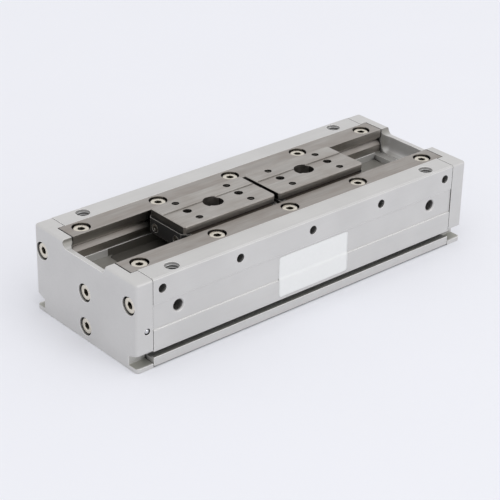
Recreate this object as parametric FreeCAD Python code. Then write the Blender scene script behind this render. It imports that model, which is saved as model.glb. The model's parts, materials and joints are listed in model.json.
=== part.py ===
"""Low-profile parallel gripper: two jaws on one ball guide, driven by two racked pistons and a pinion.

Millimetres. X runs along the guide, Y across it, Z up. The origin lies under the middle of the body.
The near side is -Y and the left end is -X. The jaws are drawn closed.
The right half of the drive is the left half turned half a turn about Z.
"""
import FreeCAD, Part
import math
import os

V = FreeCAD.Vector
ALONG = V(1, 0, 0)
ACROSS = V(0, 1, 0)
UP = V(0, 0, 1)

# Travel of one jaw from closed to open
stroke = 40.0

# Jaws
jaw_length = 50.8
jaw_gap = 2.2
jaw_rise = 3.0
jaw_plate_width = 24.0
jaw_plate_thickness = 3.7
jaw_plate_overhang = 2.8
jaw_guide_height = 10.2
jaw_low_slope = 2.6
jaw_corner = 0.9
jaw_edge = 0.5
key_width = 6.0
key_depth = 0.4
jaw_pattern_x = 28.7
jaw_pattern_y = 16.4
jaw_thread_radius = 1.7
jaw_thread_depth = 7.8
dowel_radius = 2.0
dowel_depth = 7.0
joint_hole_radius = 4.65
joint_hole_depth = 9.4

# Ball guide
ball_radius = 1.588
ball_play = 0.06
ball_spacing = 3.3
ball_below_top = 5.8
guide_play = 0.9
return_radius = 1.7
return_y = 9.7
return_drop = 1.4

# End plates on the jaws, where the balls turn round
end_plate_proud = 0.9
end_plate_inset = 0.65
end_plate_height = 9.6
end_plate_slope = 2.8
end_plate_low_slope = 1.5
end_plate_screw_y = 7.2
end_plate_screw_drop = 4.0
end_screw_radius = 1.0
end_screw_length = 7.0
end_screw_play = 0.5
end_head_radius = 1.9
end_head_height = 1.1

# Body
body_width = 71.0
base_wall = 4.5
edge_break = 0.6
panel_top = 29.2
panel_bottom = 17.4
panel_depth = 0.4
groove_mouth = 2.8
groove_lip = 1.6
groove_width = 4.2
groove_depth = 5.0
groove_centre = 6.1

# End caps
cap_thickness = 8.7
cap_corner = 1.5
cap_top_round = 1.2
cap_lip = 2.3
cap_lip_play = 0.3
dip_depth = 3.4
dip_round = 2.8
scoop_round = 4.4
scoop_drop = 0.8
seam_width = 0.3
seam_depth = 0.3
cap_notch_top = 8.2
cap_notch_slope = 1.9
cap_notch_floor = 2.0
cap_notch_depth = 5.6

# Guide rails
rail_gap = 29.7
rail_width = 10.4
rail_height = 11.2
rail_reach = 3.6
rail_notch_play = 0.3
rail_screw_offset = 5.35
rail_screw_inset = 4.7
rail_screw_count = 5

# Socket screws, M4, and the joint screw, M5
screw_radius = 2.0
rail_screw_grip = 5.4
cap_screw_grip = 7.9
head_radius = 3.5
head_height = 4.0
head_sink = 0.6
head_play = 0.65
thread_play = 0.05
tip_room = 1.0
socket_width = 3.0
socket_depth = 2.0
set_socket_width = 2.0
cap_screw_side_inset = 5.2
cap_screw_side_drop = 11.3
cap_screw_wall = 1.35
joint_screw_radius = 2.5
joint_head_radius = 4.25
joint_head_height = 5.0
joint_screw_end = 0.5
set_screw_length = 5.0
set_screw_drop = 5.5

# Pistons and bores
bore_radius = 10.0
bore_y = 13.2
bore_roof = 1.0
bore_play = 0.05
bumper_radius = 8.0
bumper_thickness = 3.0
bumper_hole_radius = 3.0
bumper_play = 0.1
cap_seal_width = 1.4
cap_seal_depth = 1.0
cap_seal_offset = 0.7
head_length = 14.0
shank_drop = 1.2
ring_depth = 1.5
seal_width = 2.4
seal_setback = 3.0
wear_width = 3.0
wear_setback = 9.0
magnet_width = 1.6
magnet_setback = 6.4
ring_play = 0.02

# Rack and pinion
module = 1.0
pinion_teeth = 16
pressure_angle = math.radians(20)
addendum = 0.9
dedendum = 1.15
backlash = 0.08
flank_flats = 4
pinion_height = 11.0
pinion_play = 0.25
pinion_tip_play = 0.4
pin_radius = 2.5
pin_play = 0.03
pin_seat = 4.0
cover_radius = 10.6
cover_thickness = 2.2
cover_boss_radius = 4.5
cover_sink = 0.4
ring_thickness = 0.8
ring_width = 1.6
ring_gap = 5.0

# Channel between the rails, and the drive bars that run in it
bar_reach = 42.5
bar_head_length = 11.0
bar_head_half = 5.0
bar_head_play = 0.4
bar_side_play = 0.4
bar_floor_play = 0.3
bar_top_play = 0.3
channel_depth = 3.6
channel_ledge = 0.35
run_depth = 0.7
run_round = 3.0
run_play = 0.5
drive_pin_radius = 2.0
drive_pin_rack_wall = 0.35
drive_pin_depth = 9.0
drive_pin_wall = 1.7
slot_play = 0.6

# Mounting holes, air ports and passage plugs
top_hole_radius = 3.25
top_hole_depth = 10.0
top_hole_inset_x = 13.1
top_hole_inset_y = 4.8
base_hole_radius = 2.1
base_hole_depth = 10.0
base_hole_y = 27.0
port_radius = 2.5
port_depth = 8.0
port_inset = 13.2
port_z = 24.6
port_chamfer = 0.55
passage_radius = 1.25
passage_inset = 3.2
plug_radius = 1.5
plug_rise = 3.55

# Sizes that follow from the ones above
jaw_inner = jaw_gap / 2
jaw_outer = jaw_inner + jaw_length
jaw_centre = jaw_inner + jaw_length / 2
overall_half = jaw_outer + end_plate_proud + stroke + cap_lip_play + cap_lip
body_half = overall_half - cap_thickness
half_width = body_width / 2
rail_inner = rail_gap / 2
rail_outer = rail_inner + rail_width
rail_screw_y = rail_inner + rail_screw_offset
body_height = base_wall + 2 * bore_radius + bore_roof + run_depth + channel_depth + rail_height
rail_foot = body_height - rail_height
channel_half = rail_inner - channel_ledge
channel_floor = rail_foot - channel_depth
scoop_floor = rail_foot - scoop_drop
rail_notch_end = -body_half - rail_reach - rail_notch_play
jaw_top = body_height + jaw_rise
shoulder_z = jaw_top - jaw_plate_thickness
jaw_bottom = shoulder_z - jaw_guide_height
guide_half = rail_inner - guide_play
guide_inner = jaw_inner + jaw_plate_overhang
guide_outer = jaw_outer - jaw_plate_overhang
ball_y = rail_inner - guide_play / 2
ball_z = body_height - ball_below_top
groove_radius = ball_radius + ball_play
end_plate_top = shoulder_z - ball_play
end_plate_bottom = end_plate_top - end_plate_height
end_screw_z = end_plate_top - end_plate_screw_drop
bore_z = base_wall + bore_radius
run_floor = channel_floor - run_depth
run_end = jaw_centre + stroke + bar_head_length / 2 + run_play
bar_bottom = run_floor + bar_floor_play
bar_head_bottom = channel_floor + bar_floor_play
bar_top = rail_foot - bar_top_play
bar_inner = bar_head_half + bar_head_play
bar_outer = channel_half - bar_side_play
pitch_radius = module * pinion_teeth / 2
drive_pin_x = bar_reach - jaw_centre
drive_pin_y = pitch_radius + dedendum + drive_pin_rack_wall + drive_pin_radius
bar_end = drive_pin_x + drive_pin_radius + drive_pin_wall
piston_half = body_half - bumper_thickness - bumper_play - stroke / 2
piston_radius = bore_radius - bore_play
shank_radius = bore_radius - shank_drop
tip_radius = pitch_radius + addendum
root_radius = pitch_radius - dedendum
rack_pitch = math.pi * module
pinion_bottom = bore_z - pinion_height / 2
pinion_top = bore_z + pinion_height / 2
pocket_radius = tip_radius + pinion_tip_play
pocket_top = pinion_top + pinion_play
plug_z = bore_z + plug_rise
cover_bottom = cover_sink + ring_thickness
cover_top = cover_bottom + cover_thickness
seat_depth = head_height + head_sink
screw_pitch = 2 * (body_half - rail_screw_inset) / (rail_screw_count - 1)
rail_screw_xs = [-body_half + rail_screw_inset + i * screw_pitch for i in range(rail_screw_count)]
set_screw_z = body_height - set_screw_drop
port_x = body_half - port_inset
top_hole_x = body_half - top_hole_inset_x
top_hole_y = half_width - top_hole_inset_y
cap_seal_radius = bore_radius + cap_seal_offset + cap_seal_width
cap_screw_reach = math.sqrt((cap_seal_radius + screw_radius + cap_screw_wall) ** 2 - bore_y**2)
cap_screw_places = [
    (-half_width + cap_screw_side_inset, body_height - cap_screw_side_drop),
    (half_width - cap_screw_side_inset, body_height - cap_screw_side_drop),
    (0, bore_z + cap_screw_reach),
    (0, bore_z - cap_screw_reach),
]
SIDES = (-1, 1)
TOLERANCE = 0.001


def block(x, y, z):
    """Box between the pairs of limits on each axis."""
    return Part.makeBox(x[1] - x[0], y[1] - y[0], z[1] - z[0], V(x[0], y[0], z[0]))


def rod(radius, start, direction, length):
    return Part.makeCylinder(radius, length, V(*start), direction)


def ring(outer, inner, start, direction, length):
    return rod(outer, start, direction, length).cut(rod(inner, start, direction, length))


def prism(points, sweep):
    """Closed polygon swept along a vector."""
    corners = [V(*point) for point in points]
    return Part.Face(Part.makePolygon(corners + corners[:1])).extrude(sweep)


def edges_along(shape, direction):
    """Straight edges that run along one axis."""
    found = []
    for edge in shape.Edges:
        line = edge.Vertexes[-1].Point - edge.Vertexes[0].Point
        if line.Length > 0 and line.cross(direction).Length < TOLERANCE * line.Length:
            found.append(edge)
    return found


def rounded_block(x, y, z, radius):
    """Box with round upright corners."""
    shape = block(x, y, z)
    return shape.makeFillet(radius, edges_along(shape, UP))


def turned(shape):
    """Copy turned half a turn about Z, which takes a left piece to the right."""
    copy = shape.copy()
    copy.rotate(V(0, 0, 0), UP, 180)
    return copy


def hexagon(width, centre, direction, depth):
    """Six-sided socket, sunk from its centre along a direction."""
    side = ACROSS if direction.x else ALONG
    other = direction.cross(side)
    reach = width / math.sqrt(3)
    points = []
    for i in range(6):
        angle = i * math.pi / 3
        points.append(centre + side * (reach * math.cos(angle)) + other * (reach * math.sin(angle)))
    return Part.Face(Part.makePolygon(points + points[:1])).extrude(direction * depth)


def socket_screw(seat, direction, radius, length, head, height):
    """Socket screw with its head standing on a seat and its shank going on along a direction."""
    seat = V(*seat)
    top = seat - direction * height
    screw = Part.makeCylinder(head, height, top, direction)
    screw = screw.fuse(Part.makeCylinder(radius, length, seat, direction))
    return screw.cut(hexagon(socket_width, top, direction, socket_depth))


def body_outline():
    """Half section of the body, from the base round to the channel floor."""
    mouth = groove_mouth / 2
    chamber = groove_width / 2
    lip_y = half_width - groove_lip
    back_y = half_width - groove_depth
    panel_y = half_width - panel_depth
    return [
        (half_width - edge_break, 0),
        (half_width, edge_break),
        (half_width, groove_centre - mouth),
        (lip_y, groove_centre - mouth),
        (lip_y, groove_centre - chamber),
        (back_y, groove_centre - chamber),
        (back_y, groove_centre + chamber),
        (lip_y, groove_centre + chamber),
        (lip_y, groove_centre + mouth),
        (half_width, groove_centre + mouth),
        (half_width, panel_bottom),
        (panel_y, panel_bottom),
        (panel_y, panel_top),
        (half_width, panel_top),
        (half_width, body_height - edge_break),
        (half_width - edge_break, body_height),
        (rail_outer, body_height),
        (rail_outer, rail_foot),
        (channel_half, rail_foot),
        (channel_half, channel_floor),
    ]


def body_holes():
    """Screw holes, mounting holes and ports of the body."""
    hole = screw_radius + thread_play
    rail_depth = rail_screw_grip + tip_room
    cap_depth = cap_screw_grip + tip_room
    tools = []
    for x in rail_screw_xs:
        tools.append(rod(hole, (x, -half_width, set_screw_z), ACROSS, half_width - rail_inner))
        for side in SIDES:
            tools.append(rod(hole, (x, side * rail_screw_y, rail_foot), -UP, rail_depth))
    for end in SIDES:
        for y, z in cap_screw_places:
            tools.append(rod(hole, (end * body_half, y, z), ALONG * -end, cap_depth))
        for side in SIDES:
            top = (end * top_hole_x, side * top_hole_y, body_height)
            tools.append(rod(top_hole_radius, top, -UP, top_hole_depth))
            base = (end * top_hole_x, side * base_hole_y, 0)
            tools.append(rod(base_hole_radius, base, UP, base_hole_depth))
        mouth = (end * port_x, -half_width + panel_depth, port_z)
        tools.append(rod(port_radius, mouth, ACROSS, port_depth))
        wide = port_radius + port_chamfer
        tools.append(Part.makeCone(wide, port_radius, port_chamfer, V(*mouth), ACROSS))
    return tools


def left_bar_run():
    """Sunk run of the left drive bar in the channel floor, and the drive pin's slot down to the bore."""
    run_x = (-run_end, bar_end + run_play)
    run_y = (bar_inner - bar_side_play, channel_half)
    run = rounded_block(run_x, run_y, (run_floor, rail_foot), run_round)
    half = drive_pin_radius + slot_play
    slot_x = (drive_pin_x - stroke - half, drive_pin_x + half)
    return [run, block(slot_x, (drive_pin_y - half, drive_pin_y + half), (bore_z, rail_foot))]


def drive_cavity():
    """Bores, runs of the drive bars and pinion pocket."""
    tools = []
    for shape in left_bar_run():
        tools += [shape, turned(shape)]
    for side in SIDES:
        axis = (-body_half, side * bore_y, bore_z)
        tools.append(rod(bore_radius, axis, ALONG, 2 * body_half))
    tools.append(rod(pocket_radius, (0, 0, 0), UP, pocket_top))
    tools.append(rod(cover_radius, (0, 0, 0), UP, cover_top))
    tools.append(rod(pin_radius, (0, 0, 0), UP, pocket_top + pin_seat))
    return tools


def body_block():
    half = body_outline()
    outline = [(-body_half, y, z) for y, z in half]
    outline += [(-body_half, -y, z) for y, z in reversed(half)]
    body = prism(outline, ALONG * (2 * body_half))
    return body.cut(body_holes() + drive_cavity())


def cap_blank():
    """Plain cap with its upright corners and top edges rounded."""
    cap = block((-overall_half, -body_half), (-half_width, half_width), (0, body_height))
    upright = [e for e in edges_along(cap, UP) if e.CenterOfMass.x < -body_half - cap_thickness / 2]
    cap = cap.makeFillet(cap_corner, upright)
    rim = []
    for edge in cap.Edges:
        centre = edge.CenterOfMass
        if centre.z > body_height - cap_top_round and centre.x < -body_half - cap_thickness / 4:
            rim.append(edge)
    return cap.makeFillet(cap_top_round, rim)


def cap_scoop():
    """Hollow that the jaw's end plate runs into: rounded past the rails' ends, square beside them."""
    wall = -overall_half + cap_lip
    top = body_height + cap_top_round
    sides = (-rail_inner, rail_inner)
    height = (scoop_floor, top)
    shape = block((wall, -body_half), sides, height)
    corner = []
    for edge in shape.Edges:
        centre = edge.CenterOfMass
        if centre.x < -body_half - TOLERANCE and centre.z < top - TOLERANCE:
            corner.append(edge)
    return shape.makeFillet(scoop_round, corner).fuse(block((rail_notch_end, -body_half), sides, height))


def cap_dip():
    """Shallow dip across the top of the cap, as wide as the scoop, with its lower corners rounded."""
    height = (body_height - dip_depth, body_height)
    dip = block((-overall_half, -body_half), (-rail_inner, rail_inner), height)
    low = [e for e in edges_along(dip, ALONG) if e.CenterOfMass.z < body_height - dip_depth / 2]
    return dip.makeFillet(dip_round, low)


def cap_notches():
    """Rail ends, sensor grooves and seal seats that open into the cap."""
    tools = []
    for side in SIDES:
        y = sorted((side * rail_inner, side * (rail_outer + rail_notch_play)))
        tools.append(block((rail_notch_end, -body_half), y, (rail_foot, body_height)))
        back = half_width - cap_notch_depth
        points = [
            (-overall_half, side * half_width, cap_notch_floor),
            (-overall_half, side * back, cap_notch_floor),
            (-overall_half, side * back, cap_notch_top - cap_notch_slope),
            (-overall_half, side * half_width, cap_notch_top),
        ]
        tools.append(prism(points, ALONG * cap_thickness))
    return tools + cap_seal_rings()


def cap_seal_rings():
    """Face seals round the two bores, let into the left cap."""
    inner = bore_radius + cap_seal_offset
    rings = []
    for side in SIDES:
        start = (-body_half, side * bore_y, bore_z)
        rings.append(ring(cap_seal_radius, inner, start, -ALONG, cap_seal_depth))
    return rings


def cap_seam():
    """Fine relief round the left cap where it meets the body."""
    x = (-body_half - seam_width, -body_half)
    y = half_width - seam_depth
    frame = block(x, (-half_width, half_width), (0, body_height))
    return frame.cut(block(x, (-y, y), (seam_depth, body_height - seam_depth)))


def cap_holes():
    """Counterbored screw holes and the plugged air passage of the left cap."""
    tools = []
    for y, z in cap_screw_places:
        mouth = (-overall_half, y, z)
        tools.append(rod(screw_radius + thread_play, mouth, ALONG, cap_thickness))
        tools.append(rod(head_radius + head_play, mouth, ALONG, seat_depth))
    x = -body_half - passage_inset
    tools.append(rod(passage_radius, (x, -half_width, plug_z), ACROSS, half_width - bore_y))
    tools.append(rod(passage_radius, (x, -bore_y, plug_z), ALONG, passage_inset))
    tools.append(rod(plug_radius, (x, -half_width, plug_z), ACROSS, 2 * plug_radius))
    return tools


def left_end_cap():
    return cap_blank().cut([cap_scoop(), cap_dip(), cap_seam()] + cap_notches() + cap_holes())


def ball_groove(start, y, length):
    """Square tool on its corner: the balls touch the flats of the grooves that it cuts."""
    reach = groove_radius * math.sqrt(2)
    points = [
        (start, y - reach, ball_z),
        (start, y, ball_z - reach),
        (start, y + reach, ball_z),
        (start, y, ball_z + reach),
    ]
    return prism(points, ALONG * length)


def near_guide_rail():
    """Rail with its ball groove and counterbored screw holes."""
    half = body_half + rail_reach
    rail = block((-half, half), (-rail_outer, -rail_inner), (rail_foot, body_height))
    tools = [ball_groove(-half, -ball_y, 2 * half)]
    for x in rail_screw_xs:
        tools.append(rod(screw_radius + thread_play, (x, -rail_screw_y, rail_foot), UP, rail_height))
        tools.append(rod(head_radius + head_play, (x, -rail_screw_y, body_height), -UP, seat_depth))
    return rail.cut(tools)


def near_rail_screws():
    seat_z = body_height - seat_depth
    length = rail_height - seat_depth + rail_screw_grip
    screws = []
    for x in rail_screw_xs:
        seat = (x, -rail_screw_y, seat_z)
        screws.append(socket_screw(seat, -UP, screw_radius, length, head_radius, head_height))
    return Part.Compound(screws)


def left_cap_screws():
    length = cap_thickness - seat_depth + cap_screw_grip
    screws = []
    for y, z in cap_screw_places:
        seat = (-overall_half + seat_depth, y, z)
        screws.append(socket_screw(seat, ALONG, screw_radius, length, head_radius, head_height))
    return Part.Compound(screws)


def rail_set_screws():
    """Set screws that press the near rail towards the balls."""
    screws = []
    for x in rail_screw_xs:
        outer = V(x, -rail_outer - set_screw_length, set_screw_z)
        screw = Part.makeCylinder(screw_radius, set_screw_length, outer, ACROSS)
        screws.append(screw.cut(hexagon(set_socket_width, outer, ACROSS, socket_depth)))
    return Part.Compound(screws)


def left_bumpers():
    bumpers = []
    for side in SIDES:
        start = (-body_half, side * bore_y, bore_z)
        bumpers.append(ring(bumper_radius, bumper_hole_radius, start, ALONG, bumper_thickness))
    return Part.Compound(bumpers)


def faceted_ball(radius, centre):
    """Small steel ball, drawn with eighteen flats."""
    side = radius * math.sqrt(2.0 / 3.0)
    cube = Part.makeBox(2 * side, 2 * side, 2 * side, V(-side, -side, -side))
    ball = cube
    for axis in (ALONG, ACROSS, UP):
        other = cube.copy()
        other.rotate(V(0, 0, 0), axis, 45)
        ball = ball.common(other)
    ball.translate(V(*centre))
    return ball


def passage_plug_balls():
    x = -body_half - passage_inset
    ball = Part.makeSphere(plug_radius, V(x, -half_width + plug_radius, plug_z))
    return Part.Compound([ball, turned(ball)])


def jaw_plate():
    """Top plate of the jaw, with chamfered corners and edges and a shallow key slot along it."""
    y = jaw_plate_width / 2
    plate = block((-jaw_outer, -jaw_inner), (-y, y), (shoulder_z, jaw_top))
    plate = plate.makeChamfer(jaw_corner, edges_along(plate, UP))
    rim = [e for e in plate.Edges if e.CenterOfMass.z > jaw_top - jaw_edge / 2]
    plate = plate.makeChamfer(jaw_edge, rim)
    key = block((-jaw_outer, -jaw_inner), (-key_width / 2, key_width / 2), (jaw_top - key_depth, jaw_top))
    return plate.cut(key)


def jaw_holes():
    """Tool screw holes, dowel holes and the joint screw's hole."""
    tools = []
    for dx in (-jaw_pattern_x / 2, jaw_pattern_x / 2):
        x = -jaw_centre + dx
        tools.append(rod(dowel_radius, (x, 0, jaw_top), -UP, dowel_depth))
        for dy in (-jaw_pattern_y / 2, jaw_pattern_y / 2):
            tools.append(rod(jaw_thread_radius, (x, dy, jaw_top), -UP, jaw_thread_depth))
    middle = (-jaw_centre, 0, jaw_top)
    tools.append(rod(joint_hole_radius, middle, -UP, joint_hole_depth))
    tools.append(rod(joint_screw_radius + thread_play, middle, -UP, jaw_top - jaw_bottom))
    return tools


def end_screw_holes():
    """Holes for the four end-plate screws, a little deeper than the screws reach."""
    hole = end_screw_radius + thread_play
    tools = []
    for side in SIDES:
        y = side * end_plate_screw_y
        for face, way in ((-jaw_outer - end_plate_proud, ALONG), (-jaw_inner - thread_play, -ALONG)):
            tools.append(rod(hole, (face, y, end_screw_z), way, end_screw_length + end_screw_play))
    return tools


def left_jaw():
    """Jaw: a top plate on a block with ball grooves and ball return bores."""
    length = guide_outer - guide_inner
    jaw = block((-guide_outer, -guide_inner), (-guide_half, guide_half), (jaw_bottom, shoulder_z))
    low = [e for e in edges_along(jaw, ALONG) if e.CenterOfMass.z < jaw_bottom + jaw_low_slope]
    jaw = jaw.makeChamfer(jaw_low_slope, low)
    jaw = jaw.fuse(jaw_plate()).removeSplitter()
    tools = jaw_holes() + end_screw_holes()
    for side in SIDES:
        tools.append(ball_groove(-guide_outer, side * ball_y, length))
        back = (-guide_outer, side * return_y, ball_z - return_drop)
        tools.append(rod(return_radius, back, ALONG, length))
    return jaw.cut(tools)


def end_plate(face, inner, way):
    """Plain end plate from its outer face to the jaw, with its screw heads let in along a way."""
    half = guide_half - end_plate_inset
    plate = block(sorted((face, inner)), (-half, half), (end_plate_bottom, end_plate_top))
    tools = []
    for side in SIDES:
        mouth = (face, side * end_plate_screw_y, end_screw_z)
        tools.append(rod(end_screw_radius + thread_play, mouth, way, abs(face - inner)))
        tools.append(rod(end_head_radius + thread_play, mouth, way, end_head_height))
    return plate.cut(tools)


def left_outer_end_plate():
    """Outer end plate, sloped off at its foot and sides to go into the end cap's scoop."""
    face = -jaw_outer - end_plate_proud
    half = guide_half - end_plate_inset
    low = end_plate_bottom
    foot = [(face, -half, low), (face + end_plate_slope, -half, low), (face, -half, low + end_plate_slope)]
    tools = [prism(foot, ACROSS * (2 * half))]
    for side in SIDES:
        y = side * half
        upright_y = y - side * end_plate_slope
        upright = [(face, y, low), (face + end_plate_slope, y, low), (face, upright_y, low)]
        tools.append(prism(upright, UP * end_plate_height))
        corner_y = y - side * end_plate_low_slope
        corner = [(face, y, low), (face, y, low + end_plate_low_slope), (face, corner_y, low)]
        tools.append(prism(corner, ALONG * (-guide_outer - face)))
    return end_plate(face, -guide_outer, ALONG).cut(tools)


def left_inner_end_plate():
    return end_plate(-jaw_inner - thread_play, -guide_inner, -ALONG)


def left_end_plate_screws():
    screws = []
    for side in SIDES:
        y = side * end_plate_screw_y
        for face, way in ((-jaw_outer - end_plate_proud, ALONG), (-jaw_inner - thread_play, -ALONG)):
            head = rod(end_head_radius, (face, y, end_screw_z), way, end_head_height)
            shank = rod(end_screw_radius, (face, y, end_screw_z), way, end_screw_length)
            screws.append(head.fuse(shank))
    return Part.Compound(screws)


def left_guide_balls():
    """Loaded balls between the jaw and the two rails."""
    length = guide_outer - guide_inner
    count = int(length / ball_spacing)
    start = -guide_outer + (length - (count - 1) * ball_spacing) / 2
    balls = []
    for side in SIDES:
        for i in range(count):
            balls.append(faceted_ball(ball_radius, (start + i * ball_spacing, side * ball_y, ball_z)))
    return Part.Compound(balls)


def left_drive_bar():
    """Bar that carries the jaw's motion along its run to the far piston."""
    head_x = (-jaw_centre - bar_head_length / 2, -jaw_centre + bar_head_length / 2)
    bar = rounded_block((head_x[0], bar_end), (bar_inner, bar_outer), (bar_bottom, bar_top), run_round)
    bar = bar.fuse(block(head_x, (-bar_head_half, bar_outer - run_round), (bar_head_bottom, jaw_bottom)))
    screw_height = jaw_bottom - bar_head_bottom
    screw = rod(joint_screw_radius + thread_play, (-jaw_centre, 0, bar_head_bottom), UP, screw_height)
    pin = rod(drive_pin_radius, (drive_pin_x, drive_pin_y, bar_bottom), UP, bar_top - bar_bottom)
    return bar.removeSplitter().cut([screw, pin])


def left_joint_screw():
    seat_z = jaw_top - joint_hole_depth
    length = seat_z - bar_head_bottom - joint_screw_end
    seat = (-jaw_centre, 0, seat_z)
    return socket_screw(seat, -UP, joint_screw_radius, length, joint_head_radius, joint_head_height)


def left_drive_pin():
    bottom = bore_z + shank_radius - drive_pin_depth
    return rod(drive_pin_radius, (drive_pin_x, drive_pin_y, bottom), UP, bar_top - bottom)


def piston_centre():
    """Middle of the left jaw's piston with the jaw closed."""
    return stroke / 2


def ring_starts(setback, width):
    """Left edges of a ring groove on each piston head, set back from the piston's ends."""
    middle = piston_centre()
    return [middle - piston_half + setback, middle + piston_half - setback - width]


def piston_rings(width, starts, play):
    """Rings that fill grooves in the piston, standing out to the bore less a running play."""
    rings = []
    for x in starts:
        start = (x, bore_y, bore_z)
        rings.append(ring(bore_radius - play, bore_radius - ring_depth, start, ALONG, width))
    return rings


def rack_spaces():
    """Tooth spaces of the rack, with one centred on the pinion when the jaw is closed."""
    slope = math.tan(pressure_angle)
    half_pitch = rack_pitch / 4 + backlash / 2
    tip_half = half_pitch + addendum * slope
    root_half = half_pitch - dedendum * slope
    tip_y = pitch_radius - addendum
    root_y = pitch_radius + dedendum
    low = bore_z - bore_radius
    count = int(stroke / rack_pitch) + 2
    spaces = []
    for i in range(-2, count + 1):
        x = i * rack_pitch
        points = [
            (x - tip_half, tip_y, low),
            (x - root_half, root_y, low),
            (x + root_half, root_y, low),
            (x + tip_half, tip_y, low),
        ]
        spaces.append(prism(points, UP * (2 * bore_radius)))
    return spaces


def left_piston():
    """Double-headed piston with a rack along its inner side."""
    middle = piston_centre()
    ends = (middle - piston_half, middle + piston_half)
    piston = rod(shank_radius, (ends[0], bore_y, bore_z), ALONG, 2 * piston_half)
    flat_y = (bore_y - bore_radius, pitch_radius - addendum)
    z = (bore_z - bore_radius, bore_z + bore_radius)
    piston = piston.cut(block((ends[0] + head_length, ends[1] - head_length), flat_y, z))
    for x in (ends[0], ends[1] - head_length):
        piston = piston.fuse(rod(piston_radius, (x, bore_y, bore_z), ALONG, head_length))
    bottom = bore_z + shank_radius - drive_pin_depth
    tools = rack_spaces()
    tools.append(rod(drive_pin_radius, (drive_pin_x, drive_pin_y, bottom), UP, 2 * bore_radius))
    tools += piston_rings(seal_width, ring_starts(seal_setback, seal_width), 0)
    tools += piston_rings(wear_width, ring_starts(wear_setback, wear_width), 0)
    tools += piston_rings(magnet_width, ring_starts(magnet_setback, magnet_width)[:1], 0)
    return piston.cut(tools)


def left_piston_seals():
    return Part.Compound(piston_rings(seal_width, ring_starts(seal_setback, seal_width), ring_play))


def left_wear_rings():
    return Part.Compound(piston_rings(wear_width, ring_starts(wear_setback, wear_width), ring_play))


def left_magnet():
    return piston_rings(magnet_width, ring_starts(magnet_setback, magnet_width)[:1], bore_play)[0]


def involute_angle(radius, base):
    """Turn of the involute flank at a radius, from where it leaves the base circle."""
    lean = math.acos(base / radius)
    return math.tan(lean) - lean


def polar(radius, angle):
    return V(radius * math.cos(angle), radius * math.sin(angle), pinion_bottom)


def pinion_outline():
    """Closed wire of involute teeth, with one tooth pointing at each rack."""
    base = pitch_radius * math.cos(pressure_angle)
    thickness = rack_pitch / 2 - backlash
    half_base = thickness / (2 * pitch_radius) + involute_angle(pitch_radius, base)
    radii = [base + (tip_radius - base) * i / flank_flats for i in range(flank_flats + 1)]
    step = 2 * math.pi / pinion_teeth
    points = []
    for tooth in range(pinion_teeth):
        middle = -math.pi / 2 + tooth * step
        rise = [polar(r, middle - half_base + involute_angle(r, base)) for r in radii]
        fall = [polar(r, middle + half_base - involute_angle(r, base)) for r in reversed(radii)]
        points.append(polar(root_radius, middle - half_base))
        points += rise + fall
        points.append(polar(root_radius, middle + half_base))
    return Part.makePolygon(points + points[:1])


def pinion():
    gear = Part.Face(pinion_outline()).extrude(UP * pinion_height)
    return gear.cut(rod(pin_radius + pin_play, (0, 0, pinion_bottom), UP, pinion_height))


def pinion_pin():
    return rod(pin_radius, (0, 0, cover_bottom), UP, pocket_top + pin_seat - cover_bottom)


def pinion_cover():
    """Round cover under the pinion, with a boss that the pinion runs on."""
    cover = rod(cover_radius - thread_play, (0, 0, cover_bottom), UP, cover_thickness)
    boss_height = pinion_bottom - pinion_play - cover_bottom
    cover = cover.fuse(rod(cover_boss_radius, (0, 0, cover_bottom), UP, boss_height))
    return cover.cut(rod(pin_radius, (0, 0, cover_bottom), UP, boss_height))


def cover_ring():
    """Open spring ring that holds the cover in."""
    outer = cover_radius - thread_play
    shape = ring(outer, outer - ring_width, (0, 0, cover_sink), UP, ring_thickness)
    return shape.cut(block((0, outer), (-ring_gap / 2, ring_gap / 2), (cover_sink, cover_bottom)))


def fixed_pieces():
    """Pieces that stay with the body, by name."""
    rail = near_guide_rail()
    rail_screws = near_rail_screws()
    cap = left_end_cap()
    cap_screws = left_cap_screws()
    seals = Part.Compound(cap_seal_rings())
    bumpers = left_bumpers()
    return {
        "body_block": body_block(),
        "left_end_cap": cap,
        "right_end_cap": turned(cap),
        "left_cap_screws": cap_screws,
        "right_cap_screws": turned(cap_screws),
        "left_cap_seals": seals,
        "right_cap_seals": turned(seals),
        "left_bumpers": bumpers,
        "right_bumpers": turned(bumpers),
        "near_guide_rail": rail,
        "far_guide_rail": turned(rail),
        "near_rail_screws": rail_screws,
        "far_rail_screws": turned(rail_screws),
        "rail_set_screws": rail_set_screws(),
        "passage_plug_balls": passage_plug_balls(),
        "pinion_pin": pinion_pin(),
        "pinion_cover": pinion_cover(),
        "cover_ring": cover_ring(),
    }


def jaw_pieces():
    """Pieces that slide with the left jaw, by the part of their name after the side."""
    return {
        "jaw": left_jaw(),
        "outer_end_plate": left_outer_end_plate(),
        "inner_end_plate": left_inner_end_plate(),
        "end_plate_screws": left_end_plate_screws(),
        "guide_balls": left_guide_balls(),
        "drive_bar": left_drive_bar(),
        "joint_screw": left_joint_screw(),
        "drive_pin": left_drive_pin(),
        "piston": left_piston(),
        "piston_seals": left_piston_seals(),
        "wear_rings": left_wear_rings(),
        "magnet": left_magnet(),
    }


def main():
    os.makedirs("parts", exist_ok=True)
    pieces = fixed_pieces()
    for name, shape in jaw_pieces().items():
        pieces["left_" + name] = shape
        pieces["right_" + name] = turned(shape)
    pieces["pinion"] = pinion()
    for name, shape in pieces.items():
        shape.exportStep("parts/" + name + ".step")


main()
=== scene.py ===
import json
import math

import bmesh
import bpy
from mathutils import Matrix, Vector


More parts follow.
